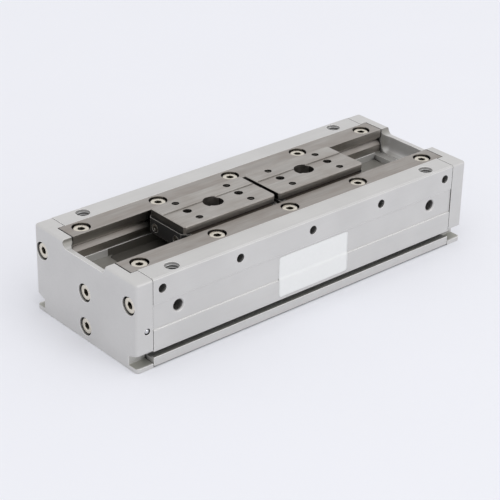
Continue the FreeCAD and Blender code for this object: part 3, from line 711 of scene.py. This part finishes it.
def thread_tree(name):
    """Screw thread cut in holes: on each point a helical ridge that runs back from the mouth."""
    sockets = [
        ("Radius", "NodeSocketFloat"), ("Pitch", "NodeSocketFloat"), ("Depth", "NodeSocketFloat"),
        ("Way", "NodeSocketVector"), ("Material", "NodeSocketMaterial"),
    ]
    tree, given = new_tree(name, sockets)
    span = {0: given["Depth"], 1: given["Pitch"]}
    turns = add(tree, "ShaderNodeMath", span, operation="DIVIDE").outputs[0]
    # Twenty points make one turn
    helix = add(
        tree, "GeometryNodeCurveSpiral",
        {
            "Resolution": 20, "Rotations": turns, "Start Radius": given["Radius"],
            "End Radius": given["Radius"], "Height": given["Depth"],
        },
    )
    # The ridge is four-sided and a little narrower than the pitch
    ridge_share = {0: given["Pitch"], 1: 0.36}
    half = add(tree, "ShaderNodeMath", ridge_share, operation="MULTIPLY").outputs[0]
    section = add(tree, "GeometryNodeCurvePrimitiveCircle", {"Resolution": 4, "Radius": half})
    swept = {"Curve": helix.outputs["Curve"], "Profile Curve": section.outputs["Curve"]}
    ridge = add(tree, "GeometryNodeCurveToMesh", {**swept, "Fill Caps": True}).outputs["Mesh"]
    aim = add(tree, "FunctionNodeAlignRotationToVector", {"Vector": given["Way"]}, axis="Z")
    return end_tree(tree, given, given["Geometry"], ridge, Rotation=aim.outputs["Rotation"])


def ball_tree(name):
    """Rows of balls along X, one from each point."""
    sockets = [
        ("Radius", "NodeSocketFloat"), ("Spacing", "NodeSocketFloat"), ("Count", "NodeSocketInt"),
        ("Material", "NodeSocketMaterial"),
    ]
    tree, given = new_tree(name, sockets)
    step = add(tree, "ShaderNodeCombineXYZ", {"X": given["Spacing"]}).outputs["Vector"]
    row = add(tree, "GeometryNodeMeshLine", {"Count": given["Count"], "Offset": step})
    starts = {"Points": given["Geometry"], "Instance": row.outputs["Mesh"]}
    rows = add(tree, "GeometryNodeInstanceOnPoints", starts)
    spots = add(tree, "GeometryNodeRealizeInstances", {"Geometry": rows.outputs["Instances"]})
    round_mesh = {"Radius": given["Radius"], "Subdivisions": 4}
    ball = add(tree, "GeometryNodeMeshIcoSphere", round_mesh)
    smooth = add(tree, "GeometryNodeSetShadeSmooth", {"Geometry": ball.outputs["Mesh"]})
    return end_tree(tree, given, spots.outputs["Geometry"], smooth.outputs["Geometry"])


def smooth_mesh(name, bm):
    """Mesh of what a bmesh holds, turned outwards and smooth but for its creases."""
    crease = math.radians(32)
    bmesh.ops.recalc_face_normals(bm, faces=bm.faces)
    for face in bm.faces:
        face.smooth = True
    for edge in bm.edges:
        edge.smooth = edge.calc_face_angle(0.0) < crease
    mesh = bpy.data.meshes.new(name)
    bm.to_mesh(mesh)
    bm.free()
    return mesh


def ring_stack(name, rings):
    """Closed turned mesh from rings of equal count; the first and last ring are single points."""
    bm = bmesh.new()
    rows = [[bm.verts.new(point) for point in points] for points in rings]
    for low, high in zip(rows, rows[1:]):
        for i in range(RING):
            j = (i + 1) % RING
            lower = [low[i % len(low)], low[j % len(low)]]
            upper = [high[j % len(high)], high[i % len(high)]]
            bm.faces.new(list(dict.fromkeys(lower + upper)))
    return smooth_mesh(name, bm)


def ring(z, reaches):
    """Points round the Z axis at one height, each at its own distance from it."""
    return [(r * math.cos(turn), r * math.sin(turn), z) for r, turn in zip(reaches, TURNS)]


def round_ring(radius, z, knurl=0.0):
    """Circle of points; with a knurl, every other point is set in."""
    return ring(z, [radius - knurl * (i % 2) for i in range(RING)])


def hexagon_ring(width, z):
    """Hexagon with the given width across its flats."""
    sixth = math.pi / 3
    return ring(z, [width / 2 / math.cos(turn % sixth - sixth / 2) for turn in TURNS])


def socket_screw(name, head, height, hexagon, deep, shank, reach, pitch):
    """Socket screw along +Z: knurled head with a bevelled rim above zero, threaded shank below."""
    bevel, knurl = head * 0.09, head * 0.03
    floor = height - deep
    rings = [
        # Cone that the drill leaves under the hexagon
        [(0.0, 0.0, floor - hexagon * 0.2)],
        round_ring(hexagon * 0.3, floor - hexagon * 0.1),
        # Hexagon with a countersunk mouth
        hexagon_ring(hexagon, floor),
        hexagon_ring(hexagon, height - hexagon * 0.09),
        round_ring(hexagon * 0.64, height),
        # Flat top and rounded bevel
        round_ring(head - bevel * 1.6, height),
        round_ring(head - bevel * 0.5, height - bevel * 0.45),
        round_ring(head, height - bevel * 1.5),
        # Knurled side and the seat under it
        round_ring(head, height - bevel * 1.8, knurl),
        round_ring(head, bevel, knurl),
        round_ring(head - bevel * 0.5, 0.0),
        round_ring(shank, 0.0),
    ]
    z = -pitch
    while z > pitch - reach:
        rings.append(round_ring(shank, z))
        rings.append(round_ring(shank - pitch / 2, z - pitch / 2))
        z -= pitch
    # Tapered tip
    rings.append(round_ring(shank * 0.75, -reach))
    rings.append([(0.0, 0.0, -reach)])
    return ring_stack(name, rings)


def set_screws(name, body, node, places, way, mesh, material, seed):
    """Screws in place of a CAD node's plain ones."""
    model = link("pattern_" + name, mesh)
    piece = points_object(name, places)
    values = {"Screw": model, "Way": tuple(way), "Seed": seed, "Material": finish(material)}
    bake(piece, "Screws on points", screw_tree, values)
    bpy.data.objects.remove(model)
    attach(piece, body)
    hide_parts(node)


def set_main_screws(node, places, way, reach, seed):
    """The screws of a rail or an end cap, which are alike but for their reach under the head."""
    sizes = bpy.context.scene.gripper_sizes
    mesh = socket_screw(
        node + "_mesh", sizes.head_radius, sizes.head_height, sizes.hexagon, sizes.socket_depth,
        sizes.shank_radius, reach, sizes.pitch,
    )
    name = node + "_threaded"
    set_screws(name, "body", node, places, way, mesh, "Bright stainless screw", seed)


def cut_threads(name, body, places, way, radius, pitch, depth, material):
    """Threads in a group of like holes."""
    piece = points_object(name, places)
    values = {
        "Radius": radius, "Pitch": pitch, "Depth": depth, "Way": tuple(way),
        "Material": finish(material),
    }
    bake(piece, "Threads in holes", thread_tree, values)
    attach(piece, body)


class GRIPPER_OT_body_finish(bpy.types.Operator):
    """Finish the body, the end caps and what is pressed into them"""

    bl_idname = "gripper.body_finish"
    bl_label = "Finish body and end caps"

    def execute(self, context):
        dress("Satin anodised body", "body_block")
        dress("Satin anodised end cap", "left_end_cap", "right_end_cap")
        dress("Polished bearing steel", "passage_plug_balls")
        dress("Nitrile rubber", "left_bumpers", "right_bumpers")
        dress("Nitrile rubber", "left_cap_seals", "right_cap_seals")
        dress("Black oxide steel", "rail_set_screws")
        return {"FINISHED"}


class GRIPPER_OT_guide_finish(bpy.types.Operator):
    """Finish the rails, the jaws and their end plates"""

    bl_idname = "gripper.guide_finish"
    bl_label = "Finish guide and jaws"

    def execute(self, context):
        dress("Ground stainless rail", "near_guide_rail", "far_guide_rail")
        dress("Ground stainless jaw", "left_jaw", "right_jaw")
        for side in SIDES:
            dress("Moulded black plastic", side + "_outer_end_plate", side + "_inner_end_plate")
        return {"FINISHED"}


class GRIPPER_OT_drive_finish(bpy.types.Operator):
    """Finish the drive inside the body"""

    bl_idname = "gripper.drive_finish"
    bl_label = "Finish drive"

    def execute(self, context):
        dress("Hardened drive steel", "pinion", "pinion_pin", "cover_ring")
        dress("Turned aluminium", "pinion_cover")
        for side in SIDES:
            dress("Hardened drive steel", side + "_drive_bar", side + "_drive_pin")
            dress("Turned aluminium", side + "_piston")
            dress("Nitrile rubber", side + "_piston_seals")
            dress("Filled sliding plastic", side + "_wear_rings")
            dress("Sintered ferrite", side + "_magnet")
            dress("Black oxide steel", side + "_joint_screw")
        return {"FINISHED"}


class GRIPPER_OT_rail_screws(bpy.types.Operator):
    """Five socket screws in each rail"""

    bl_idname = "gripper.rail_screws"
    bl_label = "Rail screws"

    def execute(self, context):
        sizes = context.scene.gripper_sizes
        for side, seed in (("near", 3), ("far", 4)):
            node = side + "_rail_screws"
            low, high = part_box(node)
            along = evenly(low.x + sizes.head_radius, high.x - sizes.head_radius, 5)
            y = (low.y + high.y) / 2
            seat = high.z - sizes.head_height
            places = [(x, y, seat) for x in along]
            set_main_screws(node, places, (0, 0, 1), seat - low.z, seed)
        return {"FINISHED"}


class GRIPPER_OT_cap_screws(bpy.types.Operator):
    """Four socket screws in each end cap"""

    bl_idname = "gripper.cap_screws"
    bl_label = "End cap screws"

    def execute(self, context):
        sizes = context.scene.gripper_sizes
        radius, height = sizes.head_radius, sizes.head_height
        for side, way, seed in (("left", -1, 7), ("right", 1, 9)):
            node = side + "_cap_screws"
            low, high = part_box(node)
            seat = low.x + height if way < 0 else high.x - height
            places = [
                (seat, low.y + radius, high.z - radius),
                (seat, high.y - radius, high.z - radius),
                (seat, 0.0, sizes.middle_screw_high),
                (seat, 0.0, low.z + radius),
            ]
            set_main_screws(node, places, (way, 0, 0), high.x - low.x - height, seed)
        return {"FINISHED"}


class GRIPPER_OT_end_plate_screws(bpy.types.Operator):
    """Small socket screws in the end plates of the jaws"""

    bl_idname = "gripper.end_plate_screws"
    bl_label = "End plate screws"

    def execute(self, context):
        sizes = context.scene.gripper_sizes
        head, height = sizes.small_head_radius, sizes.small_head_height
        for seed, side in enumerate(SIDES):
            node = side + "_end_plate_screws"
            low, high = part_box(node)
            z = (low.z + high.z) / 2
            for way, face in ((-1, low.x), (1, high.x)):
                places = [(face - way * height, y, z) for y in (low.y + head, high.y - head)]
                mesh = socket_screw(
                    node + "_mesh", head, height, sizes.small_hexagon, sizes.small_socket_depth,
                    sizes.small_shank_radius, sizes.small_reach, sizes.small_pitch,
                )
                name = node + ("_outer" if (way < 0) == (side == "left") else "_inner")
                set_screws(
                    name, side + "_jaw", node, places, (way, 0, 0), mesh,
                    "Nickel-plated steel", seed,
                )
        return {"FINISHED"}


class GRIPPER_OT_guide_balls(bpy.types.Operator):
    """Rows of smooth balls between the jaws and the rails"""

    bl_idname = "gripper.guide_balls"
    bl_label = "Guide balls"

    def execute(self, context):
        sizes = context.scene.gripper_sizes
        for side in SIDES:
            node = side + "_guide_balls"
            low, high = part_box(node)
            middle = (low + high) / 2
            # The solids are drawn with flats, so their box is a little smaller than the balls
            flat = sizes.ball_radius * math.sqrt(2 / 3)
            count = round((high.x - low.x - 2 * flat) / sizes.ball_spacing) + 1
            reach = (high.y - low.y) / 2 - flat
            first = middle.x - (count - 1) / 2 * sizes.ball_spacing
            starts = [(first, way * reach, middle.z) for way in (-1, 1)]
            piece = points_object(node + "_round", starts)
            values = {
                "Radius": sizes.ball_radius, "Spacing": sizes.ball_spacing, "Count": count,
                "Material": finish("Polished bearing steel"),
            }
            bake(piece, "Rows of balls", ball_tree, values)
            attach(piece, side + "_jaw")
            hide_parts(node)
        return {"FINISHED"}


class GRIPPER_OT_hole_threads(bpy.types.Operator):
    """Threads in the tapped holes and air ports"""

    bl_idname = "gripper.hole_threads"
    bl_label = "Threads in holes"

    def execute(self, context):
        mounts = {mount["name"]: mount for mount in frame["record"]["mounts"]}
        self.upright_holes(mounts, context.scene.gripper_sizes)
        self.side_holes(mounts, context.scene.gripper_sizes)
        return {"FINISHED"}

    def upright_holes(self, mounts, sizes):
        """Holes in the top, the base and the jaws, four in a rectangle."""
        body = ("body", sizes.body_thread, "Bright thread in aluminium", "anodised_aluminium")
        groups = [
            ("top_holes_thread", "top_holes", -1, sizes.top_pitch, body),
            ("base_holes_thread", "base_holes", 1, sizes.port_pitch, body),
        ]
        for side in SIDES:
            jaw = (side + "_jaw", sizes.jaw_thread, "Cut thread in steel", "guide_steel")
            groups.append((side + "_jaw_thread", side + "_jaw_tool_holes", -1, sizes.pitch, jaw))
        for name, mount, way, pitch, (rides, depth, material, slot) in groups:
            x, y, z = mounts[mount]["pos_m"]
            dims = mounts[mount]["dims"]
            dx, dy = dims["spacing_x_mm"] * MM / 2, dims["spacing_y_mm"] * MM / 2
            start = z + way * sizes.thread_start
            places = [(x + a * dx, y + b * dy, start) for a in (-1, 1) for b in (-1, 1)]
            radius = dims["hole_r_mm"] * MM
            cut_threads(name, rides, places, (0, 0, way), radius, pitch, depth, material)

    def side_holes(self, mounts, sizes):
        """Air ports and the holes of the set screws, in the near side."""
        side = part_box("body_block")[0].y
        ports = [Vector(mounts[end + "_air_port"]["pos_m"]) for end in SIDES]
        low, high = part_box("rail_set_screws")
        height, radius = (low.z + high.z) / 2, sizes.set_screw_radius
        along = evenly(low.x + radius, high.x - radius, 5)
        groups = (
            (
                "air_port_thread", [(port.x, side + sizes.port_start, port.z) for port in ports],
                sizes.port_radius, sizes.port_pitch, sizes.port_thread,
            ),
            (
                "set_screw_thread", [(x, side + sizes.thread_start, height) for x in along],
                sizes.set_screw_hole, sizes.pitch, sizes.set_screw_thread,
            ),
        )
        for name, places, hole, pitch, depth in groups:
            cut_threads(
                name, "body", places, (0, 1, 0), hole, pitch, depth,
                "Cut thread in aluminium",
            )


class GRIPPER_OT_blank_label(bpy.types.Operator):
    """Blank white label on the near side, pressed down over the step of the side panel"""

    bl_idname = "gripper.blank_label"
    bl_label = "Blank label"

    def execute(self, context):
        sizes = context.scene.gripper_sizes
        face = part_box("body_block")[0].y
        columns, rows = 40, 60
        bm = bmesh.new()
        grid = []
        for z in evenly(sizes.label_low, sizes.label_high, rows + 1):
            inset = self.corner_inset(z, sizes)
            y = self.rest_y(z, face, sizes)
            line = evenly(inset - sizes.label_left, sizes.label_right - inset, columns + 1)
            grid.append([bm.verts.new((x, y, z)) for x in line])
        for low, high in zip(grid, grid[1:]):
            for j in range(columns):
                bm.faces.new((low[j], low[j + 1], high[j + 1], high[j]))
        mesh = smooth_mesh("blank_label", bm)
        if mesh.polygons[0].normal.y > 0:
            mesh.flip_normals()
        mesh.materials.append(finish("White label film"))
        piece = link("blank_label", mesh)
        film = piece.modifiers.new("Film", "SOLIDIFY")
        film.thickness = sizes.label_film
        film.offset = 1.0
        keep_result(piece)
        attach(piece, "body")
        return {"FINISHED"}

    def corner_inset(self, z, sizes):
        """How far the side edge is drawn in by the round corners at this height."""
        corner = sizes.label_corner
        depth = max(0.0, corner - min(z - sizes.label_low, sizes.label_high - z))
        return corner - math.sqrt(max(0.0, corner**2 - depth**2))

    def rest_y(self, z, face, sizes):
        """Side face under the film, with the panel's step taken as a short smooth ramp."""
        share = (z - sizes.panel_low + sizes.panel_lead) / sizes.panel_ramp
        share = min(1.0, max(0.0, share))
        return face - sizes.label_glue + sizes.panel_step * share * share * (3 - 2 * share)


class GRIPPER_OT_stage(bpy.types.Operator):
    """Pale floor, soft light and the photograph's camera"""

    bl_idname = "gripper.stage"
    bl_label = "Studio"

    def execute(self, context):
        stage = context.scene.gripper_stage
        self.floor(stage)
        self.world(context, stage)
        # Wide light from above and a little in front, even over the whole floor
        spread = {"energy": stage.key, "angle": stage.key_spread}
        overhead = self.lamp("Overhead light", "SUN", stage.key_way, spread)
        # Shiny metal shows the even backdrop alone, as under a light tent
        overhead.visible_glossy = False
        disk = {"shape": "DISK", "size": stage.front_width, "energy": stage.front}
        way = stage.front_aim - stage.front_place
        front = self.lamp("Front softbox", "AREA", way, disk)
        front.location = stage.front_place
        self.camera(context, stage)
        context.scene.view_settings.view_transform = "Standard"
        return {"FINISHED"}

    def floor(self, stage):
        """Matt studio paper, even to the eye but for a faint cloudiness."""
        # Six metres each way fill the view from any side
        half = 6.0
        mesh = bpy.data.meshes.new("studio_floor")
        corners = [(-half, -half, 0), (half, -half, 0), (half, half, 0), (-half, half, 0)]
        mesh.from_pydata(corners, [], [(0, 1, 2, 3)])
        material, tree, place = start_material("Matt studio paper")
        clouds = pattern(tree, place, (60 * MM, 60 * MM, 60 * MM))
        tint = layered(tree, shade(stage.floor, 0.995), (clouds, stage.floor))
        matt = {"Base Color": tint, "Roughness": 0.9, "Specular IOR Level": 0.1}
        paper = add(tree, "ShaderNodeBsdfPrincipled", matt)
        add(tree, "ShaderNodeOutputMaterial", {"Surface": paper.outputs["BSDF"]})
        mesh.materials.append(material)
        floor = link("studio_floor", mesh)
        # A hair under the base, so that the two flat faces don't flicker
        floor.location.z = -0.05 * MM
        floor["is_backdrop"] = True

    def world(self, context, stage):
        """Pale to the eye and to shiny metal, weaker as light on dull surfaces."""
        world = bpy.data.worlds.new("Studio")
        context.scene.world = world
        world.use_nodes = True
        tree = world.node_tree
        tree.nodes.clear()
        path = add(tree, "ShaderNodeLightPath")
        seen = path.outputs["Is Camera Ray"]
        for kind in ("Is Glossy Ray", "Is Transmission Ray"):
            pair = {0: seen, 1: path.outputs[kind]}
            seen = add(tree, "ShaderNodeMath", pair, operation="MAXIMUM").outputs[0]
        glow = {"Value": seen, "To Min": stage.fill, "To Max": 1.0}
        power = add(tree, "ShaderNodeMapRange", glow).outputs["Result"]
        back = add(tree, "ShaderNodeBackground", {"Color": stage.sky, "Strength": power})
        add(tree, "ShaderNodeOutputWorld", {"Surface": back.outputs["Background"]})

    def lamp(self, name, kind, way, settings):
        """A lamp that shines the given way."""
        light = bpy.data.lights.new(name, kind)
        for key, value in settings.items():
            setattr(light, key, value)
        lamp = link(name, light)
        lamp.rotation_euler = way.to_track_quat("-Z", "Y").to_euler()
        return lamp

    def camera(self, context, stage):
        """The photograph's camera, turned about the upright, tipped and rolled."""
        a, e, r = stage.azimuth, stage.elevation, stage.roll
        back = Vector((math.sin(a) * math.cos(e), -math.cos(a) * math.cos(e), math.sin(e)))
        side = Vector((math.cos(a), math.sin(a), 0.0))
        up = back.cross(side)
        right = side * math.cos(r) + up * math.sin(r)
        top = up * math.cos(r) - side * math.sin(r)
        place = back * stage.distance - right * stage.aside + top * stage.below
        lens = bpy.data.cameras.new("Camera")
        lens.lens = stage.lens
        lens.sensor_width = 36.0
        lens.clip_start = 0.01
        camera = link("Camera", lens)
        axes = Matrix((right, top, back)).transposed().to_4x4()
        camera.matrix_world = Matrix.Translation(place) @ axes
        context.scene.camera = camera


class GRIPPER_PT_panel(bpy.types.Panel):
    """Lists the pieces"""

    bl_idname = "GRIPPER_PT_panel"
    bl_label = "Parallel gripper"
    bl_space_type = "VIEW_3D"
    bl_region_type = "UI"
    bl_category = "Gripper"

    def draw(self, context):
        for operator in OPERATORS:
            self.layout.operator(operator.bl_idname)
        for group in GROUPS:
            values = getattr(context.scene, group)
            box = self.layout.box()
            for key in values.bl_rna.properties.keys():
                if key not in ("rna_type", "name"):
                    box.prop(values, key)


OPERATORS = (
    GRIPPER_OT_body_finish,
    GRIPPER_OT_guide_finish,
    GRIPPER_OT_drive_finish,
    GRIPPER_OT_rail_screws,
    GRIPPER_OT_cap_screws,
    GRIPPER_OT_end_plate_screws,
    GRIPPER_OT_guide_balls,
    GRIPPER_OT_hole_threads,
    GRIPPER_OT_blank_label,
    GRIPPER_OT_stage,
)
GROUPS = {
    "gripper_finishes": GripperFinishes,
    "gripper_sizes": GripperSizes,
    "gripper_stage": GripperStage,
}
CLASSES = (*GROUPS.values(), *OPERATORS, GRIPPER_PT_panel)


def register():
    for cls in CLASSES:
        bpy.utils.register_class(cls)
    for name, group in GROUPS.items():
        setattr(bpy.types.Scene, name, bpy.props.PointerProperty(type=group))


def unregister():
    for name in GROUPS:
        delattr(bpy.types.Scene, name)
    for cls in reversed(CLASSES):
        bpy.utils.unregister_class(cls)


def main():
    register()
    bpy.ops.gripper.body_finish()
    bpy.ops.gripper.guide_finish()
    bpy.ops.gripper.drive_finish()
    bpy.ops.gripper.rail_screws()
    bpy.ops.gripper.cap_screws()
    bpy.ops.gripper.end_plate_screws()
    bpy.ops.gripper.guide_balls()
    bpy.ops.gripper.hole_threads()
    bpy.ops.gripper.blank_label()
    bpy.ops.gripper.stage()
    boxes = {"cad": CAD_BOX, "visual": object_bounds()}
    boxes = {name: [list(corner) for corner in box] for name, box in boxes.items()}


if __name__ == "__main__":
    main()
